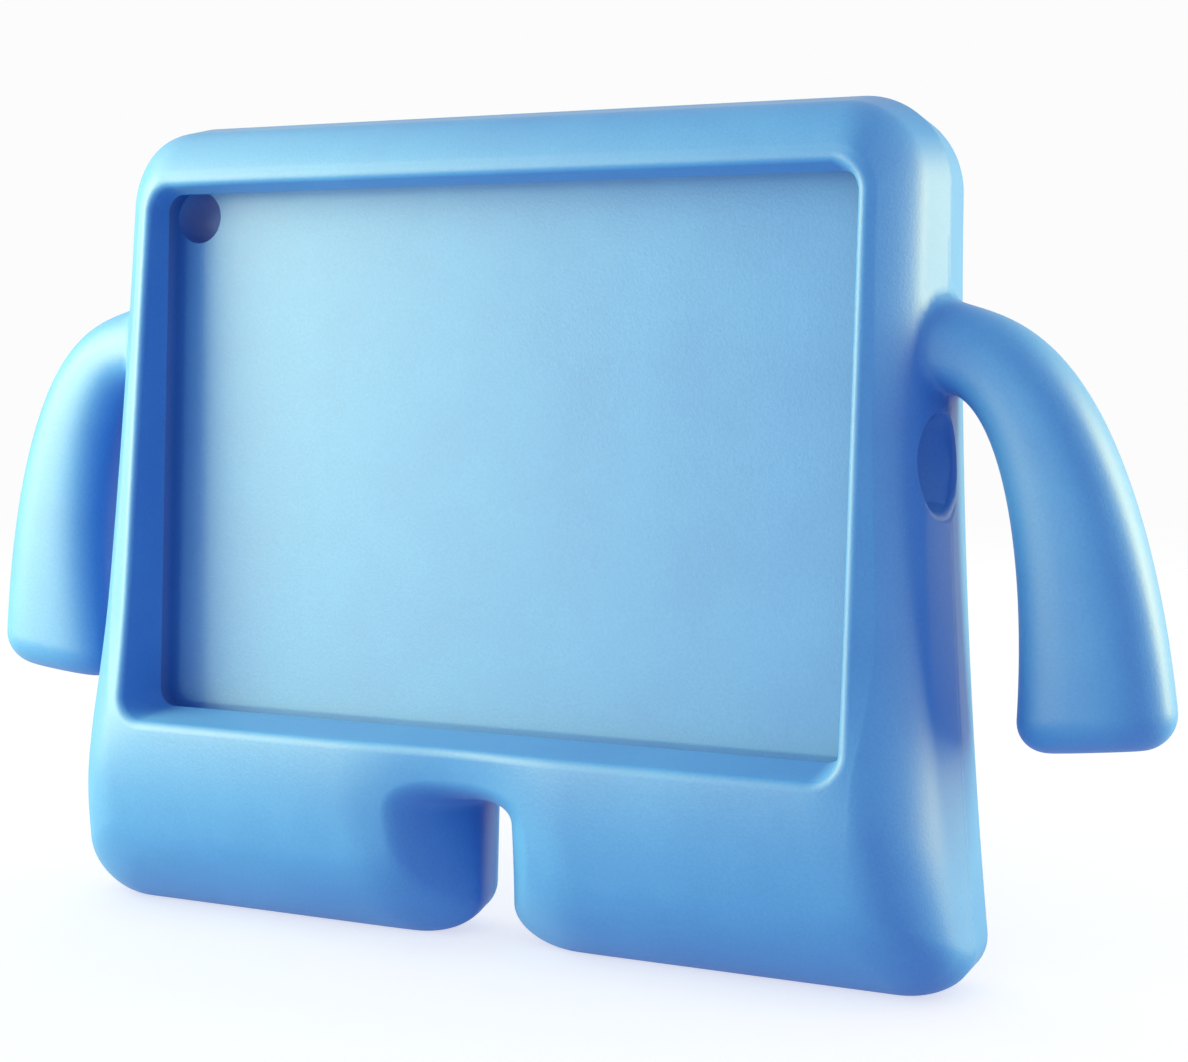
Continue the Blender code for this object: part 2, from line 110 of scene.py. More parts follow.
# Arms
ARM_ROOT_HEIGHT = 0.0325
ARM_ROOT_SINK = 0.0035
ARM_BURIED = 0.0030
ARM_REACH = 0.0445
ARM_DROP = 0.1064
ARM_BOW = 0.76
ARM_ROOT_WIDTH = 0.0215
ARM_END_WIDTH = 0.0444
ARM_WIDTH_POWER = 0.95
ARM_ROOT_THICKNESS = 0.0280
ARM_END_THICKNESS = 0.0250
ARM_ROOT_DEPTH = 0.0160
ARM_END_DEPTH = 0.0270
ARM_END_ROUND = 0.0100
ARM_END_TILT = math.radians(6)
ARM_ROOT_FLARE = 0.0066
ARM_FLARE_LENGTH = 0.0045
ARM_SECTION_POWER = 2.35

# Fillet at the root of each arm: its reach, the divisor that gives its full core, the passes that smooth it,
# and the step between the points of the seam that distances are measured to
ARM_FILLET = 0.0036
ARM_FILLET_CORE = 3
ARM_FILLET_PASSES = 24
SEAM_STRIDE = 4

# Opening for the charging plug, and the hole for a rear camera
PORT_HEIGHT = 0.0270
PORT_WIDTH = 0.0216
PORT_CENTRE = 0.0112
PORT_RAISE = 0.0020
PORT_THROAT_HEIGHT = 0.0220
PORT_THROAT_WIDTH = 0.0096
PORT_THROAT_CENTRE = 0.0040
PORT_THROAT_LENGTH = 0.0032
PORT_EDGE = 0.0020
LENS_INSET = 0.0117
LENS_RADIUS = 0.0080
LENS_THROAT_LENGTH = 0.0032
LENS_FLARE = 0.0050

LEAN = math.radians(3.5)

# How far cutters reach past the skin, the angle above which an edge stays sharp, and the length of a sliver
CUT_MARGIN = 0.004
SHARP_ANGLE = math.radians(35)
SLIVER = 0.00004

# Fine points along each stretch of half the outline, from the top centre round to the top of the slot
TOP_POINTS = 18
TOP_CORNER_POINTS = 24
SIDE_POINTS = 112
FOOT_CORNER_POINTS = 24
SOLE_POINTS = 21
INNER_CORNER_POINTS = 18
SLOT_POINTS = 12
ARCH_POINTS = 21
OUTLINE_COUNTS = (
    TOP_POINTS,
    TOP_CORNER_POINTS,
    SIDE_POINTS,
    FOOT_CORNER_POINTS,
    SOLE_POINTS,
    INNER_CORNER_POINTS,
    SLOT_POINTS,
    ARCH_POINTS,
)

# Where the outline's stretches meet the window's rim, on the course of rectangle_outline. The side meets it
# in two parts: SIDE_SHARE of its points run down the window's side, the rest round part of its lower corner
SIDE_SHARE = 0.79
RIM_COURSE = (0, 1, 2, 3, 3.4, 4, 4.45, 4.61, 4.75, 5)

# Below the window the wall's rounding is let go from the rim over this height, and eased in by this share
RELEASE = 0.030
RELEASE_SOFTNESS = 0.04

# Rings along the skin. The first STRAIGHT_SHARE of the front edge's rings run along its drafted part
PANEL_RINGS = 8
REAR_RINGS = 16
REAR_WALL_RINGS = 10
FRONT_RINGS = 37
STRAIGHT_SHARE = 1 / 3
FACE_RINGS = 14
RIM_RINGS = 12
WINDOW_WALL_RINGS = 4
LIP_EDGE_RINGS = 4
FLOOR_RINGS = 10
ARM_RINGS = 86
ARM_END_RINGS = 16
ARM_POINTS = 84
PORT_POINTS = 96
LENS_POINTS = 80
EDGE_RINGS = 9
PATH_SAMPLES = 800

# Camera, found from the photograph in the upright frame: degrees, metres, and pixels for the focal length
IMAGE_WIDTH = 1188
CAMERA_AZIMUTH = math.radians(27.051)
CAMERA_ELEVATION = math.radians(1.879)
CAMERA_ROLL = math.radians(1.391)
CAMERA_DISTANCE = 0.655662
CAMERA_TARGET = (0.036474, 0.0, -0.019506)
FOCAL_PIXELS = 2320.72
SENSOR_WIDTH = 36.0
CLIP_START = 0.01

# Foam: colours, share of the speckle, patterns per metre, and strength and height in metres of the bumps
FOAM_DEEP = "#3070CC"
FOAM_PALE = "#3678D2"
SPECKLE_DARK = "#E4E9EE"
SPECKLE_LIGHT = "#FFFFFF"
SPECKLE_SHARE = 0.6
RAMP_START = 0.30
RAMP_END = 0.70
CLOUD_SCALE = 28.0
CLOUD_DETAIL = 4.0
CLOUD_ROUGHNESS = 0.55
GRAIN_SCALE = 1150.0
GRAIN_DETAIL = 3.0
GRAIN_ROUGHNESS = 0.6
CELL_SCALE = 1500.0
PEBBLE_STRENGTH = 0.35
PEBBLE_HEIGHT = 0.00012
PIT_STRENGTH = 0.25
PIT_HEIGHT = 0.00008
FOAM_SMOOTHEST = 0.47
FOAM_ROUGHEST = 0.55
FOAM_IOR = 1.49
SHEEN = 0.04
SHEEN_ROUGHNESS = 0.40

# Studio: paper with a glow as the camera sees it and a weaker one as light on the case, and a pale backdrop
PAPER_COLOUR = "#C9CACB"
PAPER_GLOW = 0.62
PAPER_BOUNCE = 0.40
BACKDROP_COLOUR = "#FCFCFC"
FLOOR_HALF = 2.0
FLOOR_FADE_START = 0.45
FLOOR_FADE_END = 1.6
AMBIENT = 0.76

# Each light: name, place, what it points at, width, height, power in watts
WARM_WHITE = "#F5E688"
LIGHTS = (
    ("key_left", (-0.58, -0.36, 0.15), (0.0, 0.0, 0.12), 0.50, 0.45, 10.5),
    ("key_high", (-0.55, -0.40, 0.45), (0.0, 0.0, 0.12), 0.50, 0.45, 10.5),
    ("low_left", (-0.30, -0.60, 0.04), (0.0, 0.0, 0.12), 0.40, 0.06, 2.6),
    ("top_left", (-0.45, -0.10, 0.65), (0.0, 0.0, 0.12), 0.50, 0.45, 2.4),
    ("rim_right", (0.64, 0.20, 0.22), (0.03, 0.0, 0.12), 0.14, 0.45, 9.0),
    ("rim_back", (0.55, 0.45, 0.30), (0.03, 0.0, 0.12), 0.30, 0.45, 2.6),
)

# Sizes that follow from those above. RIM_GROWTH is how far the window's rim lies outside the window
QUARTER = math.pi / 2
WINDOW_HALF = POCKET_LENGTH / 2 - LIP_SIDE
WINDOW_RISE = POCKET_HEIGHT / 2 - LIP_TOP
HALF_WIDTH = POCKET_LENGTH / 2 + WALL_SIDE
TOP = POCKET_HEIGHT / 2 + WALL_TOP
SOLE = -POCKET_HEIGHT / 2 - LEG_LENGTH
BACK = POCKET_DEPTH + REAR_WALL
RUN = PARTING_DEPTH + FRONT_WALL
RIM_GROWTH = (FRONT_WALL - RIM_ROUND * (1 - math.sin(WINDOW_DRAFT))) * math.tan(WINDOW_DRAFT) + (
    RIM_ROUND * math.cos(WINDOW_DRAFT)
)
SPLAY = FRONT_SLOPE * math.tan(WINDOW_DRAFT)


# Shape functions


def smooth_step(start, end, value):
    """0 before start and 1 after end; between them s squared times (3 - 2 s), with s the share of the way."""
    share = np.clip((value - start) / (end - start), 0, 1)
    return share * share * (3 - 2 * share)


def soft_positive(value, margin):
    """0 below -margin and the value itself above margin, joined by a parabola that is tangent to both."""
    return np.clip(value + margin, 0, 2 * margin) ** 2 / (4 * margin) + np.maximum(value - margin, 0)


def steps(count):
    """A row of shares of a stretch, from 0 to just before 1."""
    return np.arange(count)[None, :] / count


def column(values):
    """Numbers as a column, one for each ring."""
    return np.asarray(values, dtype=float).reshape(-1, 1)


def lowness(height):
    """0 beside the upper window, 1 from the middle of the legs down."""
    return 1 - smooth_step(SOLE + LEG_LENGTH / 2, -WINDOW_RISE / 2, height)


def wall_x(height, side, foot):
    """x of the right wall: half width, plus spread times a power of the share of the way down, less an inset.

    The inset goes from side, beside the upper window, to foot, at the legs.
    """
    down = np.clip((TOP - height) / (TOP - SOLE), 0, 1)
    return HALF_WIDTH + FOOT_SPREAD * down**SPREAD_POWER - side - (foot - side) * lowness(height)


def body_outline(side, foot, top_inset, sole_inset, slot_inset, arch_inset):
    """x and z of the right half of each ring of the body, seen from the front.

    Every inset is a column with one value per ring. The straight stretches are joined by quarter ellipses:
    x = edge - width (1 - cos t), z = end + height (1 - sin t).
    """
    top = TOP - top_inset
    sole = SOLE + sole_inset
    slot = SLOT_WIDTH / 2 + slot_inset
    arch_base = SOLE + SLOT_HEIGHT - SLOT_WIDTH / 2
    corner = np.maximum(TOP_CORNER - TOP_CORNER_LOSS * top_inset, RIM_ROUND)
    foot_width = np.maximum(FOOT_CORNER_WIDTH - FOOT_CORNER_LOSS * sole_inset, RIM_ROUND)
    foot_height = np.maximum(FOOT_CORNER_HEIGHT - FOOT_CORNER_LOSS * sole_inset, RIM_ROUND)
    inner_width = INNER_CORNER_WIDTH - INNER_WIDTH_LOSS * (sole_inset + slot_inset)
    inner_width = np.maximum(inner_width, RIM_ROUND)
    inner_height = np.maximum(INNER_CORNER_HEIGHT - INNER_HEIGHT_LOSS * sole_inset, RIM_ROUND)

    turn = QUARTER * (1 - steps(TOP_CORNER_POINTS))
    corner_z = top - corner + corner * np.sin(turn)
    corner_x = wall_x(corner_z, side, foot) - corner * (1 - np.cos(turn))
    edge_x = corner_x[:, :1] * steps(TOP_POINTS)
    edge_z = top + 0 * edge_x

    side_z = top - corner + (sole + foot_height - top + corner) * steps(SIDE_POINTS)
    side_x = wall_x(side_z, side, foot)

    turn = QUARTER * steps(FOOT_CORNER_POINTS)
    foot_z = sole + foot_height * (1 - np.sin(turn))
    foot_x = wall_x(foot_z, side, foot) - foot_width * (1 - np.cos(turn))

    foot_end = wall_x(sole, side, foot) - foot_width
    sole_x = foot_end + (slot + inner_width - foot_end) * steps(SOLE_POINTS)
    sole_z = sole + 0 * sole_x

    turn = QUARTER * steps(INNER_CORNER_POINTS)
    inner_x = slot + inner_width * (1 - np.sin(turn))
    inner_z = sole + inner_height * (1 - np.cos(turn))

    slot_z = sole + inner_height + (arch_base - sole - inner_height) * steps(SLOT_POINTS)
    slot_x = slot + 0 * slot_z

    turn = np.linspace(0, QUARTER, ARCH_POINTS)[None, :]
    power = 2 / ARCH_POWER
    arch_x = slot * np.cos(turn) ** power
    arch_z = arch_base + (SLOT_WIDTH / 2 + arch_inset) * np.sin(turn) ** power
    arch_x[:, -1] = 0
    across = np.concatenate([edge_x, corner_x, side_x, foot_x, sole_x, inner_x, slot_x, arch_x], axis=1)
    up = np.concatenate([edge_z, corner_z, side_z, foot_z, sole_z, inner_z, slot_z, arch_z], axis=1)
    return across, up


def rectangle_outline(half_width, half_height, corner):
    """x and z of the right half of rounded rectangles, with one point for each point of body_outline.

    A course runs from 0 to 5: along half the top edge, round the upper corner, down the side, round the lower
    corner and back along half the lower edge, each 1 long. RIM_COURSE says where each stretch of the body's
    outline meets it.
    """
    places = np.concatenate([[0], np.cumsum(OUTLINE_COUNTS)]).astype(float)
    places[-1] -= 1
    window_foot = places[2] + SIDE_SHARE * SIDE_POINTS
    course = np.interp(np.arange(places[-1] + 1), np.insert(places, 3, window_foot), RIM_COURSE)[None, :]
    top, upper, side, lower, bottom = (np.clip(course - start, 0, 1) for start in range(5))
    across = half_width - corner
    up = half_height - corner
    x = across * (top - bottom) + corner * (np.sin(QUARTER * upper) + np.cos(QUARTER * lower) - 1)
    z = half_height - 2 * up * side - corner * (1 - np.cos(QUARTER * upper) + np.sin(QUARTER * lower))
    return x, z


def window_outline(growth, splay):
    """The window grown on all sides, wider downwards by the splay, as column arrays of growth and splay."""
    x, z = rectangle_outline(WINDOW_HALF + growth, WINDOW_RISE + growth, WINDOW_CORNER + growth)
    return x * (1 - splay * z / (WINDOW_HALF + growth)), z - splay * WINDOW_RISE


def pocket_outline(inset):
    """The pocket's rounded rectangle, drawn in by the inset."""
    return rectangle_outline(POCKET_LENGTH / 2 - inset, POCKET_HEIGHT / 2 - inset, POCKET_CORNER - inset)


def front_depth(x, z):
    """Depth of the front face: a plane that comes forward downwards, less the fall at its edges and toes."""
    beside = soft_positive(np.abs(x) - WINDOW_HALF, RIM_GROWTH) * (1 - lowness(z))
    above = np.maximum(z - WINDOW_RISE, 0)
    below = np.maximum(-z - WINDOW_RISE, 0)
    fall = np.hypot(beside * math.tan(SIDE_TILT), above * math.tan(TOP_TILT))
    toes = TOE_SET_BACK * (below / LEG_LENGTH) ** 2
    return -FRONT_WALL + FRONT_SLOPE * z + fall + toes + valley(x, z)


def valley(x, z):
    """How far the front face sinks between the legs: one smooth step across times another downwards."""
    across = 1 - smooth_step(0, VALLEY_HALF, np.abs(x))
    down = smooth_step(VALLEY_REACH - WINDOW_RISE, SOLE + SLOT_HEIGHT - VALLEY_REACH, z)
    return VALLEY_DEPTH * across * down


def slot_opening(run):
    """How much each side of the slot has drawn back: a hyperbola with the crease at its vertex."""
    return math.tan(SLOT_DRAFT) * (np.hypot(run, SLOT_CREASE) - SLOT_CREASE)


def edge_radius(wall, tilt):
    """Radius of the arc that takes a drafted wall round to the tilted face beside the window's rim."""
    reach = wall - FACE_MARGIN - RUN * math.tan(FRONT_DRAFT)
    arc_width = math.cos(FRONT_DRAFT) - math.sin(tilt)
    arc_height = math.cos(tilt) - math.sin(FRONT_DRAFT)
    return reach / (arc_width - arc_height * math.tan(FRONT_DRAFT))


def drafted_edge(share, radius, tilt):
    """Insets of a drafted wall and the arc in front of it, and how far forward each ring is as a share."""
    forward = RUN - radius * (math.cos(tilt) - math.sin(FRONT_DRAFT))
    inset = forward * math.tan(FRONT_DRAFT)
    straight = np.clip(share / STRAIGHT_SHARE, 0, 1)
    turned = np.clip((share - STRAIGHT_SHARE) / (1 - STRAIGHT_SHARE), 0, 1)
    angle = FRONT_DRAFT + (QUARTER - tilt - FRONT_DRAFT) * turned
    insets = straight * inset + radius * (math.cos(FRONT_DRAFT) - np.cos(angle))
    forwards = straight * forward + radius * (np.sin(angle) - math.sin(FRONT_DRAFT))
    return insets, forwards / RUN


def clear_of_window(x, z):
    """Draws the side wall's rounding in less beside the window, where it would reach the window's rim."""
    wall = wall_x(z, 0, 0)
    rim = WINDOW_HALF + RIM_GROWTH - SPLAY * z[-1:]
    room = (wall[-1:] - rim - FACE_MARGIN) / (wall[-1:] - x[-1:])
    window_foot = -WINDOW_RISE - RIM_GROWTH
    beside = smooth_step(window_foot - RELEASE, window_foot, z[-1:])
    return wall - (wall - x) * (1 - soft_positive(1 - room, RELEASE_SOFTNESS) * beside)


def front_rings():
    """From the parting line forward to the front face: drafted walls, with soft superellipse toes."""
    share = column(np.linspace(0, 1, FRONT_RINGS))
    side_wall = HALF_WIDTH - WINDOW_HALF - RIM_GROWTH
    top_wall = TOP - WINDOW_RISE - RIM_GROWTH
    side, side_forward = drafted_edge(share, edge_radius(side_wall, SIDE_TILT), SIDE_TILT)
    top, top_forward = drafted_edge(share, edge_radius(top_wall, TOP_TILT), TOP_TILT)
    foot, foot_forward = drafted_edge(share, FOOT_EDGE, 0)
    power = 2 / EDGE_POWER
    soft = 1 - np.clip(np.cos(share * QUARTER), 0, 1) ** power
    soft_forward = np.sin(share * QUARTER) ** power
    slot = SLOT_EDGE * soft + slot_opening(RUN * soft_forward)
    x, z = body_outline(side, foot, top, TOE_ROUND * soft, slot, ARCH_EDGE * soft)

    ends = np.cumsum(OUTLINE_COUNTS)
    x[:, ends[1] : ends[2]] = clear_of_window(x[:, ends[1] : ends[2]], z[:, ends[1] : ends[2]])
    place = np.arange(ends[-1])[None, :]
    at_top = 1 - smooth_step(ends[0], ends[1], place)
    at_legs = smooth_step(ends[2], ends[3], place)
    forward = side_forward + (foot_forward - side_forward) * lowness(z)
    forward = forward + (top_forward - forward) * at_top
    forward = forward + (soft_forward - forward) * at_legs
    return x, PARTING_DEPTH + (front_depth(x, z) - PARTING_DEPTH) * forward, z


def rear_rings():
    """From the flat panel on the back round a quarter circle and along the drafted wall to the parting line.

    The last ring, just behind the parting line, is lower by the ridge.
    """
    straight = BACK - REAR_EDGE - PARTING_DEPTH
    turn = column(np.linspace(QUARTER, 0, REAR_RINGS))
    run = column(np.linspace(1, 0, REAR_WALL_RINGS + 1)[1:-1])
    near = column([PARTING_RIDGE_WIDTH / straight])
    edge = np.concatenate([REAR_EDGE * (1 - np.cos(turn)), 0 * run, 0 * near])
    along = np.concatenate([np.ones_like(turn), run, near])
    round_y = BACK - REAR_EDGE * (1 - np.sin(turn))
    y = np.concatenate([round_y, PARTING_DEPTH + straight * run, PARTING_DEPTH + straight * near])
    inset = straight * math.tan(REAR_DRAFT) * along + edge
    inset[-1] += PARTING_RIDGE
    slot = slot_opening(straight * along) + edge
    x, z = body_outline(inset, inset, inset, edge, slot, edge)
    return x, y + 0 * x, z


def between(first, last, count):
    """Rings between two rings of points, without the first of them."""
    share = column(np.arange(1, count + 1) / count)
    return first + (last - first) * share


def window_rings(edge_x, edge_z):
    """Across the face to the window, round its rim, down its wall, and behind the lips to the pocket."""
    rim_x, rim_z = window_outline(column([RIM_GROWTH]), SPLAY)
    face_x = between(edge_x, rim_x, FACE_RINGS)
    face_z = between(edge_z, rim_z, FACE_RINGS)
    face_y = front_depth(face_x, face_z)

    turn = column(np.linspace(0, QUARTER - WINDOW_DRAFT, RIM_RINGS + 1)[1:])
    round_x, round_z = window_outline(RIM_GROWTH - RIM_ROUND * np.sin(turn), SPLAY)
    round_y = front_depth(round_x, round_z) + RIM_ROUND * (1 - np.cos(turn))

    lip_x, lip_z = window_outline(column([LIP_EDGE * math.tan(WINDOW_DRAFT)]), 0)
    wall_x_rings = between(round_x[-1:], lip_x, WINDOW_WALL_RINGS)
    wall_z_rings = between(round_z[-1:], lip_z, WINDOW_WALL_RINGS)
    wall_y_rings = between(round_y[-1:], -LIP_EDGE + 0 * lip_x, WINDOW_WALL_RINGS)

    turn = column(np.linspace(0, QUARTER, LIP_EDGE_RINGS + 1)[1:])
    under_x, under_z = window_outline(LIP_EDGE * (1 - np.cos(turn)), 0)
    under_y = -LIP_EDGE * (1 - np.sin(turn)) + 0 * under_x

    turn = column(np.linspace(0, QUARTER, FLOOR_RINGS))
    inset = POCKET_FLOOR_ROUND * (1 - np.cos(turn))
    inset = np.concatenate([column([0]), inset, column([POCKET_FLOOR_ROUND + FLOOR_MARGIN])])
    depth = POCKET_DEPTH - POCKET_FLOOR_ROUND * (1 - np.sin(turn))
    depth = np.concatenate([column([0]), depth, column([POCKET_DEPTH])])
    floor_x, floor_z = pocket_outline(inset)
    floor_y = depth + 0 * floor_x
    x = np.concatenate([face_x, round_x, wall_x_rings, under_x, floor_x])
    y = np.concatenate([face_y, round_y, wall_y_rings, under_y, floor_y])
    z = np.concatenate([face_z, round_z, wall_z_rings, under_z, floor_z])
    return x, y, z


def body_rings():
    """All rings of the body's skin, from the middle of the back forward and down into the pocket."""
    rear_x, rear_y, rear_z = rear_rings()
    front_x, front_y, front_z = front_rings()
    window = window_rings(front_x[-1:], front_z[-1:])
    panel_x, panel_z = window_outline(column([0]), 0)
    back_x = between(rear_x[:1], panel_x, PANEL_RINGS)[::-1]
    back_z = between(rear_z[:1], panel_z, PANEL_RINGS)[::-1]
    x = np.concatenate([back_x, rear_x, front_x, window[0]])
    y = np.concatenate([BACK + 0 * back_x, rear_y, front_y, window[1]])
    z = np.concatenate([back_z, rear_z, front_z, window[2]])
    left = slice(-2, 0, -1)
    x = np.concatenate([x, -x[:, left]], axis=1)
    y = np.concatenate([y, y[:, left]], axis=1)
    z = np.concatenate([z, z[:, left]], axis=1)
    return np.stack([x, y, z], axis=2)


def arm_rings(side):
    """One arm, side 1 for the right and -1 for the left: a superellipse carried along a bow.

    The bow is x = reach sin(t) to the bow's power, z = drop (cos t - 1). The section widens with a power of
    the share of its length, flares at the root and closes in a quarter circle at the end.
    """
    bow = np.linspace(0, QUARTER, PATH_SAMPLES)
    path_x = ARM_REACH * np.sin(bow) ** ARM_BOW
    path_z = ARM_DROP * (np.cos(bow) - 1)
    along = np.concatenate([[0], np.cumsum(np.hypot(np.diff(path_x), np.diff(path_z)))])
    length = along[-1]
    heading = np.unwrap(np.arctan2(np.gradient(path_z), np.gradient(path_x)))

    turn = np.linspace(0, QUARTER, ARM_END_RINGS + 1)[1:]
    start = length - ARM_END_ROUND
    station = np.concatenate([np.linspace(0, start, ARM_RINGS), start + ARM_END_ROUND * np.sin(turn)])
    shrink = column(np.concatenate([np.zeros(ARM_RINGS), ARM_END_ROUND * (1 - np.cos(turn))]))
    share = column(station / length)
    half = (ARM_ROOT_WIDTH + (ARM_END_WIDTH - ARM_ROOT_WIDTH) * share**ARM_WIDTH_POWER) / 2 - shrink
    thick = (ARM_ROOT_THICKNESS + (ARM_END_THICKNESS - ARM_ROOT_THICKNESS) * share) / 2 - shrink
    depth = ARM_ROOT_DEPTH + (ARM_END_DEPTH - ARM_ROOT_DEPTH) * share
    turned = column(np.interp(station, along, heading)) + ARM_END_TILT * share**2
    flare = ARM_ROOT_FLARE * np.exp(-column(station) / ARM_FLARE_LENGTH)

    angle = 2 * math.pi * steps(ARM_POINTS)
    power = 2 / ARM_SECTION_POWER
    oval = np.sign(np.cos(angle)) * np.abs(np.cos(angle)) ** power
    across = half * oval + flare * np.maximum(oval, 0) ** 2
    deep = thick * np.sign(np.sin(angle)) * np.abs(np.sin(angle)) ** power
    x = HALF_WIDTH - ARM_BURIED + column(np.interp(station, along, path_x)) - across * np.sin(turned)
    z = ARM_ROOT_HEIGHT + column(np.interp(station, along, path_z)) + across * np.cos(turned)
    rings = np.stack([x, depth + deep, z], axis=2)
    buried = rings[:1] - np.array([ARM_ROOT_SINK, 0, 0])
    return np.concatenate([buried, rings]) * np.array([side, 1, 1])


def port_rings():
    """The plug opening as a solid: a narrow oval throat, then a wide oval mouth with a rounded edge."""
    angle = 2 * math.pi * steps(PORT_POINTS)
    turn = column(np.linspace(0, QUARTER, EDGE_RINGS))
    growth = np.concatenate([PORT_EDGE * (1 - np.cos(turn)), column([PORT_EDGE + CUT_MARGIN])])
    beyond = np.concatenate([PORT_EDGE * (np.sin(turn) - 1), column([CUT_MARGIN])])
    mouth_y = PORT_CENTRE + (PORT_WIDTH / 2 + growth) * np.cos(angle)
    mouth_z = PORT_RAISE + (PORT_HEIGHT / 2 + growth) * np.sin(angle)
    draft = np.minimum(mouth_y - PARTING_DEPTH, 0) * math.tan(FRONT_DRAFT)
    mouth_x = wall_x(PORT_RAISE, 0, 0) + draft + beyond
    throat_x = POCKET_LENGTH / 2 + column([-CUT_MARGIN, PORT_THROAT_LENGTH]) + 0 * angle
    throat_y = PORT_THROAT_CENTRE + PORT_THROAT_WIDTH / 2 * np.cos(angle) + 0 * throat_x
    throat_z = PORT_RAISE + PORT_THROAT_HEIGHT / 2 * np.sin(angle) + 0 * throat_x
    x = np.concatenate([throat_x, mouth_x])
    y = np.concatenate([throat_y, mouth_y])
    z = np.concatenate([throat_z, mouth_z])
    return np.stack([x, y, z], axis=2)


def lens_rings():
    """The camera hole as a solid: a straight round hole that flares like a horn to the back."""
    angle = 2 * math.pi * steps(LENS_POINTS)
    turn = np.linspace(0, QUARTER, EDGE_RINGS)
    flare_start = (BACK + POCKET_DEPTH) / 2
    flare_radius = LENS_RADIUS + LENS_FLARE * (1 - np.cos(turn))
    flare_depth = flare_start + (BACK - flare_start) * np.sin(turn)
    radius = column([LENS_RADIUS, LENS_RADIUS, *flare_radius, LENS_RADIUS + LENS_FLARE])
    throat_depth = (POCKET_DEPTH - CUT_MARGIN, POCKET_DEPTH + LENS_THROAT_LENGTH)
    depth = column([*throat_depth, *flare_depth, BACK + CUT_MARGIN])
    x = -(POCKET_LENGTH / 2 - LENS_INSET) + radius * np.cos(angle)
    z = POCKET_HEIGHT / 2 - LENS_INSET + radius * np.sin(angle)
    return np.stack([x, depth + 0 * x, z], axis=2)


def slant_soles(places):
    """Slants the soles by the lean, so that they lie flat on the floor once the case leans back."""
    near_sole = smooth_step(SOLE + LEG_LENGTH, SOLE, places[..., 2])
    places[..., 2] += math.tan(LEAN) * (places[..., 1] - PARTING_DEPTH) * near_sole
    return places


# Meshes


def skin_mesh(name, places, stand):
    """A closed mesh from a grid of rings, moved by stand: a flat face caps the first ring and the last."""
    rings, count = places.shape[:2]
    index = np.arange(rings * count).reshape(rings, count)
    after = np.roll(index, -1, axis=1)
    quads = np.stack([index[:-1], after[:-1], after[1:], index[1:]], axis=2).reshape(-1, 4)
    faces = [*quads.tolist(), index[0].tolist(), index[-1].tolist()]
    turned = places.reshape(-1, 3) @ np.array(stand.to_3x3()).T + np.array(stand.translation)
    mesh = bpy.data.meshes.new(name)
    mesh.from_pydata(turned.tolist(), [], faces)
    outward = bmesh.new()
    outward.from_mesh(mesh)
    bmesh.ops.recalc_face_normals(outward, faces=outward.faces)
    outward.to_mesh(mesh)
    outward.free()
    obj = bpy.data.objects.new(name, mesh)
    bpy.context.scene.collection.objects.link(obj)
    return obj


def applied(obj):
    """Applies the object's modifiers and returns its new mesh."""
    bpy.context.view_layer.update()
    graph = bpy.context.evaluated_depsgraph_get()
    mesh = bpy.data.meshes.new_from_object(obj.evaluated_get(graph))
    obj.modifiers.clear()
    obj.data = mesh
    return mesh


def add_boolean(obj, other, operation):
    """Joins the other solid to the object, or cuts it out, by the exact solver."""
    cut = obj.modifiers.new(other.name, "BOOLEAN")
    cut.operation = operation
    cut.solver = "EXACT"
    cut.object = other


def soften_seam(mesh, radius, passes):
    """Fillets the seam between the faces of the first and the second material.

    Each pass moves a point half way to the mean of its neighbours, times a weight that is 1 near the seam and
    falls to 0 at the radius.
    """
    corners = np.zeros(len(mesh.loops), dtype=int)
    mesh.loops.foreach_get("edge_index", corners)
    sizes = np.zeros(len(mesh.polygons), dtype=int)
    mesh.polygons.foreach_get("loop_total", sizes)
    material = np.zeros(len(mesh.polygons), dtype=int)
    mesh.polygons.foreach_get("material_index", material)
    ends = np.zeros(2 * len(mesh.edges), dtype=int)
    mesh.edges.foreach_get("vertices", ends)
    ends = ends.reshape(-1, 2)
    flat = np.zeros(3 * len(mesh.vertices))
    mesh.vertices.foreach_get("co", flat)
    places = flat.reshape(-1, 3)

    of_corner = np.repeat(material, sizes)
    on_arm = np.zeros(len(mesh.edges), dtype=int)
    np.add.at(on_arm, corners, of_corner)
    seam = places[np.unique(ends[on_arm == 1])]
    gap = np.min(np.linalg.norm(places[:, None, :] - seam[None, ::SEAM_STRIDE, :], axis=2), axis=1)
    weight = 1 - smooth_step(radius / ARM_FILLET_CORE, radius, gap)
    neighbours = np.zeros(len(places))
    np.add.at(neighbours, ends.ravel(), 1)
    for _ in range(passes):
        total = np.zeros_like(places)
        np.add.at(total, ends[:, 0], places[ends[:, 1]])
        np.add.at(total, ends[:, 1], places[ends[:, 0]])
        places = places + (total / neighbours[:, None] - places) * weight[:, None] / 2
    mesh.vertices.foreach_set("co", places.ravel())
    mesh.update()


def clean_seams(mesh):
    """Merges the slivers that the cuts leave where an edge runs out flat into the skin.

    Cuts leave points, edges and faces in an order that varies from run to run, and what is merged follows it,
    so they are first sorted by their places.
    """
    work = bmesh.new()
    work.from_mesh(mesh)
    places = np.array([point.co for point in work.verts])
    count = len(places)
    rank = np.empty(count)
    rank[np.lexsort(places.T)] = np.arange(count)

    def order(element):
        """The lowest three ranks among the element's points, as one number."""
        lowest = sorted(rank[point.index] for point in element.verts)[:3]
        return sum(value * count**power for power, value in enumerate(lowest))

    work.faces.sort(key=order)
    work.edges.sort(key=order)
    work.verts.sort(key=lambda point: rank[point.index])
    bmesh.ops.remove_doubles(work, verts=work.verts, dist=SLIVER)
    bmesh.ops.dissolve_degenerate(work, edges=work.edges, dist=SLIVER)
    work.to_mesh(mesh)
    work.free()


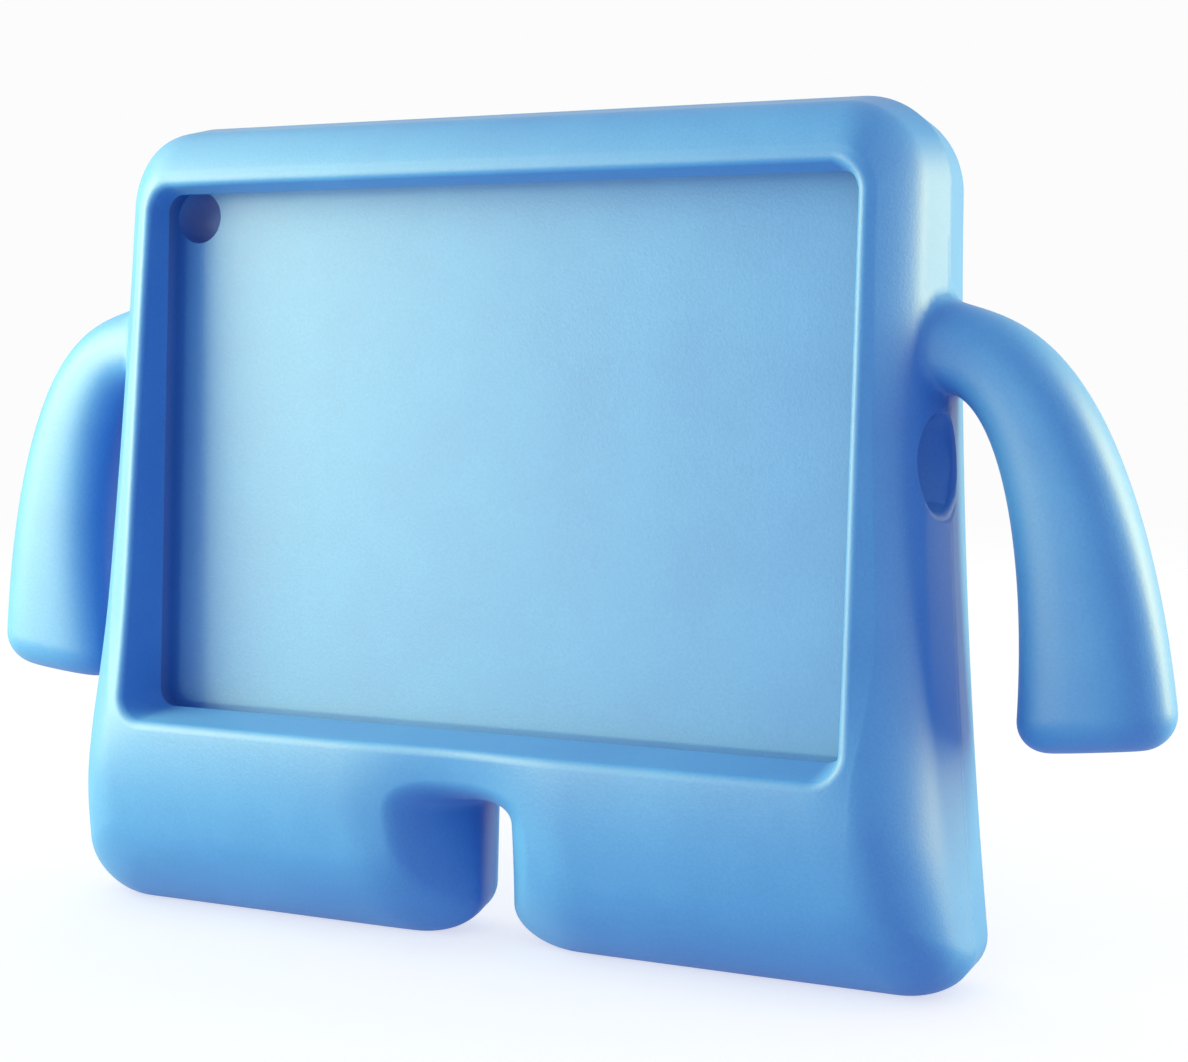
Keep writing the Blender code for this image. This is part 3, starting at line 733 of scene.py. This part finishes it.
def make_case(stand, rings):
    """The whole case as one foam body: the skin, joined to the arms and cut by the two openings."""
    case = skin_mesh("foam_case", rings, stand)
    arms = [skin_mesh(f"arm_{side}", arm_rings(side), stand) for side in (1, -1)]
    cutters = [skin_mesh("port_cutter", port_rings(), stand), skin_mesh("lens_cutter", lens_rings(), stand)]
    foam = make_foam()
    seam_marker = bpy.data.materials.new("seam_marker")
    case.data.materials.append(foam)
    case.data.materials.append(seam_marker)
    for arm in arms:
        arm.data.materials.append(foam)
        arm.data.materials.append(seam_marker)
        arm.data.polygons.foreach_set("material_index", np.ones(len(arm.data.polygons), dtype=np.int32))
        add_boolean(case, arm, "UNION")
    mesh = applied(case)
    soften_seam(mesh, ARM_FILLET, ARM_FILLET_PASSES)
    mesh.polygons.foreach_set("material_index", np.zeros(len(mesh.polygons), dtype=np.int32))
    for cutter in cutters:
        add_boolean(case, cutter, "DIFFERENCE")
    mesh = applied(case)
    clean_seams(mesh)
    for helper in (*arms, *cutters):
        bpy.data.objects.remove(helper)
    mesh.materials.clear()
    mesh.materials.append(foam)
    mesh.polygons.foreach_set("use_smooth", np.ones(len(mesh.polygons), dtype=bool))
    mesh.set_sharp_from_angle(angle=SHARP_ANGLE)
    mesh.name = "foam_case"
    bpy.data.materials.remove(seam_marker)
    return case


# Materials


def linear(code):
    """A hex sRGB colour as linear red, green, blue and alpha."""
    channels = np.array([int(code[place : place + 2], 16) for place in (1, 3, 5)]) / 255
    values = np.where(channels > 0.04045, ((channels + 0.055) / 1.055) ** 2.4, channels / 12.92)
    return (*values.tolist(), 1.0)


def add_node(tree, kind, **inputs):
    """Adds a node and sets its sockets: a number or colour as a value, an output socket as a link."""
    node = tree.nodes.new(kind)
    for name, value in inputs.items():
        socket = node.inputs[name.replace("_", " ")]
        if isinstance(value, bpy.types.NodeSocket):
            tree.links.new(value, socket)
        else:
            socket.default_value = value
    return node


def new_material(name):
    """An empty node material and its tree."""
    material = bpy.data.materials.new(name)
    material.use_nodes = True
    material.node_tree.nodes.clear()
    return material, material.node_tree


def add_ramp(tree, factor, *stops):
    """A colour ramp from pairs of position and hex colour."""
    node = tree.nodes.new("ShaderNodeValToRGB")
    tree.links.new(factor, node.inputs["Fac"])
    elements = node.color_ramp.elements
    while len(elements) < len(stops):
        elements.new(1.0)
    for element, (position, code) in zip(elements, stops):
        element.position = position
        element.color = linear(code)
    return node


def add_range(tree, value, low, high):
    """Maps 0 to 1 onto low to high."""
    node = add_node(tree, "ShaderNodeMapRange", Value=value)
    node.inputs["To Min"].default_value = low
    node.inputs["To Max"].default_value = high
    return node


def add_noise(tree, place, scale, detail, roughness):
    """The height of a noise pattern, from 0 to 1."""
    node = add_node(tree, "ShaderNodeTexNoise", Vector=place, Scale=scale, Detail=detail, Roughness=roughness)
    return node.outputs["Fac"]


def make_foam():
    """Compression-moulded closed-cell EVA foam: a matte, finely pebbled skin with a faint sheen."""
    material, tree = new_material("eva_foam_compression_moulded")
    place = add_node(tree, "ShaderNodeTexCoord").outputs["Object"]
    cloud = add_noise(tree, place, CLOUD_SCALE, CLOUD_DETAIL, CLOUD_ROUGHNESS)
    grain = add_noise(tree, place, GRAIN_SCALE, GRAIN_DETAIL, GRAIN_ROUGHNESS)
    cells = add_node(tree, "ShaderNodeTexVoronoi", Vector=place, Scale=CELL_SCALE)
    tint = add_ramp(tree, cloud, (RAMP_START, FOAM_DEEP), (RAMP_END, FOAM_PALE))
    speckle = add_ramp(tree, grain, (RAMP_START, SPECKLE_DARK), (RAMP_END, SPECKLE_LIGHT))
    colour = tree.nodes.new("ShaderNodeMix")
    colour.data_type = "RGBA"
    colour.blend_type = "MULTIPLY"
    colour.inputs["Factor"].default_value = SPECKLE_SHARE
    tree.links.new(tint.outputs["Color"], colour.inputs[6])
    tree.links.new(speckle.outputs["Color"], colour.inputs[7])
    rough = add_range(tree, cloud, FOAM_SMOOTHEST, FOAM_ROUGHEST)
    pebble = add_node(tree, "ShaderNodeBump", Height=grain, Strength=PEBBLE_STRENGTH, Distance=PEBBLE_HEIGHT)
    pits = add_node(
        tree, "ShaderNodeBump", Height=cells.outputs["Distance"], Strength=PIT_STRENGTH, Distance=PIT_HEIGHT
    )
    tree.links.new(pebble.outputs["Normal"], pits.inputs["Normal"])
    shader = add_node(
        tree,
        "ShaderNodeBsdfPrincipled",
        Base_Color=colour.outputs[2],
        Roughness=rough.outputs["Result"],
        Normal=pits.outputs["Normal"],
    )
    shader.inputs["IOR"].default_value = FOAM_IOR
    shader.inputs["Sheen Weight"].default_value = SHEEN
    shader.inputs["Sheen Roughness"].default_value = SHEEN_ROUGHNESS
    output = tree.nodes.new("ShaderNodeOutputMaterial")
    tree.links.new(shader.outputs["BSDF"], output.inputs["Surface"])
    return material


def make_floor_material():
    """Matte white paper with a glow of its own, fading out with its distance from the object.

    The glow lights the case less than it shows, so that the paper is white and the case keeps its shading.
    """
    material, tree = new_material("studio_paper")
    place = add_node(tree, "ShaderNodeTexCoord").outputs["Object"]
    away = add_node(tree, "ShaderNodeVectorMath", Vector=place)
    away.operation = "LENGTH"
    fade = add_node(tree, "ShaderNodeMapRange", Value=away.outputs["Value"])
    fade.inputs["From Min"].default_value = FLOOR_FADE_START
    fade.inputs["From Max"].default_value = FLOOR_FADE_END
    fade.interpolation_type = "SMOOTHSTEP"
    paper = add_node(tree, "ShaderNodeBsdfDiffuse", Color=linear(PAPER_COLOUR))
    path = tree.nodes.new("ShaderNodeLightPath")
    strength = add_range(tree, path.outputs["Is Camera Ray"], PAPER_BOUNCE, PAPER_GLOW).outputs["Result"]
    glow = add_node(tree, "ShaderNodeEmission", Color=linear(BACKDROP_COLOUR), Strength=strength)
    lit = tree.nodes.new("ShaderNodeAddShader")
    tree.links.new(paper.outputs["BSDF"], lit.inputs[0])
    tree.links.new(glow.outputs["Emission"], lit.inputs[1])
    clear = tree.nodes.new("ShaderNodeBsdfTransparent")
    mix = tree.nodes.new("ShaderNodeMixShader")
    tree.links.new(fade.outputs["Result"], mix.inputs["Fac"])
    tree.links.new(lit.outputs["Shader"], mix.inputs[1])
    tree.links.new(clear.outputs["BSDF"], mix.inputs[2])
    output = tree.nodes.new("ShaderNodeOutputMaterial")
    tree.links.new(mix.outputs["Shader"], output.inputs["Surface"])
    return material


# Studio


def make_floor():
    """One large square of paper on the floor, centred under the object."""
    mesh = bpy.data.meshes.new("floor")
    corners = [(x * FLOOR_HALF, y * FLOOR_HALF, 0) for x, y in ((-1, -1), (1, -1), (1, 1), (-1, 1))]
    mesh.from_pydata(corners, [], [(0, 1, 2, 3)])
    mesh.materials.append(make_floor_material())
    floor = bpy.data.objects.new("floor", mesh)
    bpy.context.scene.collection.objects.link(floor)


def make_lights(case):
    """Soft boxes that light the case alone, so that the paper keeps its neutral white."""
    lit = bpy.data.collections.new("lit_by_the_soft_boxes")
    lit.objects.link(case)
    for name, place, target, width, height, power in LIGHTS:
        light = bpy.data.lights.new(name, "AREA")
        light.shape = "RECTANGLE"
        light.size = width
        light.size_y = height
        light.energy = power
        light.color = linear(WARM_WHITE)[:3]
        obj = bpy.data.objects.new(name, light)
        obj.location = place
        aim = Vector(target) - Vector(place)
        obj.rotation_euler = aim.to_track_quat("-Z", "Y").to_euler()
        obj.visible_camera = False
        obj.light_linking.receiver_collection = lit
        bpy.context.scene.collection.objects.link(obj)


def make_world():
    """A plain pale backdrop, which lights the object less than the camera sees of it."""
    world = bpy.data.worlds.new("studio")
    world.use_nodes = True
    tree = world.node_tree
    tree.nodes.clear()
    path = tree.nodes.new("ShaderNodeLightPath")
    seen = add_node(tree, "ShaderNodeBackground", Color=linear(BACKDROP_COLOUR), Strength=1.0)
    lit = add_node(tree, "ShaderNodeBackground", Color=linear(BACKDROP_COLOUR), Strength=AMBIENT)
    mix = tree.nodes.new("ShaderNodeMixShader")
    tree.links.new(path.outputs["Is Camera Ray"], mix.inputs["Fac"])
    tree.links.new(lit.outputs["Background"], mix.inputs[1])
    tree.links.new(seen.outputs["Background"], mix.inputs[2])
    output = tree.nodes.new("ShaderNodeOutputWorld")
    tree.links.new(mix.outputs["Shader"], output.inputs["Surface"])
    bpy.context.scene.world = world


def make_camera(stand):
    """The photograph's view: turned and raised round its target, rolled, and then leaned with the case."""
    azimuth, elevation, roll = CAMERA_AZIMUTH, CAMERA_ELEVATION, CAMERA_ROLL
    back = Vector(
        (
            math.sin(azimuth) * math.cos(elevation),
            -math.cos(azimuth) * math.cos(elevation),
            math.sin(elevation),
        )
    )
    right = Vector((0, 0, 1)).cross(back).normalized()
    up = back.cross(right)
    rolled_right = math.cos(roll) * right + math.sin(roll) * up
    rolled_up = math.cos(roll) * up - math.sin(roll) * right
    place = Vector(CAMERA_TARGET) + back * CAMERA_DISTANCE
    turn = Matrix((rolled_right, rolled_up, back)).transposed().to_4x4()
    camera = bpy.data.cameras.new("camera")
    camera.sensor_width = SENSOR_WIDTH
    camera.lens = FOCAL_PIXELS / IMAGE_WIDTH * SENSOR_WIDTH
    camera.clip_start = CLIP_START
    obj = bpy.data.objects.new("camera", camera)
    obj.matrix_world = stand @ Matrix.Translation(place) @ turn
    bpy.context.scene.collection.objects.link(obj)
    bpy.context.scene.camera = obj


def stand_matrix(rings):
    """Leans the upright case back onto its soles and sets the middle of its depth over the origin."""
    turn = Matrix.Rotation(-LEAN, 4, "X")
    depths = rings[..., 1] * math.cos(LEAN) + rings[..., 2] * math.sin(LEAN)
    floor = SOLE * math.cos(LEAN) - PARTING_DEPTH * math.sin(LEAN)
    return Matrix.Translation((0, -(depths.min() + depths.max()) / 2, -floor)) @ turn


bpy.context.scene.view_settings.view_transform = "Standard"
case_rings = slant_soles(body_rings())
stand = stand_matrix(case_rings)
make_camera(stand)
make_world()
make_floor()
case = make_case(stand, case_rings)
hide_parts("case")
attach(case, "root")
make_lights(case)
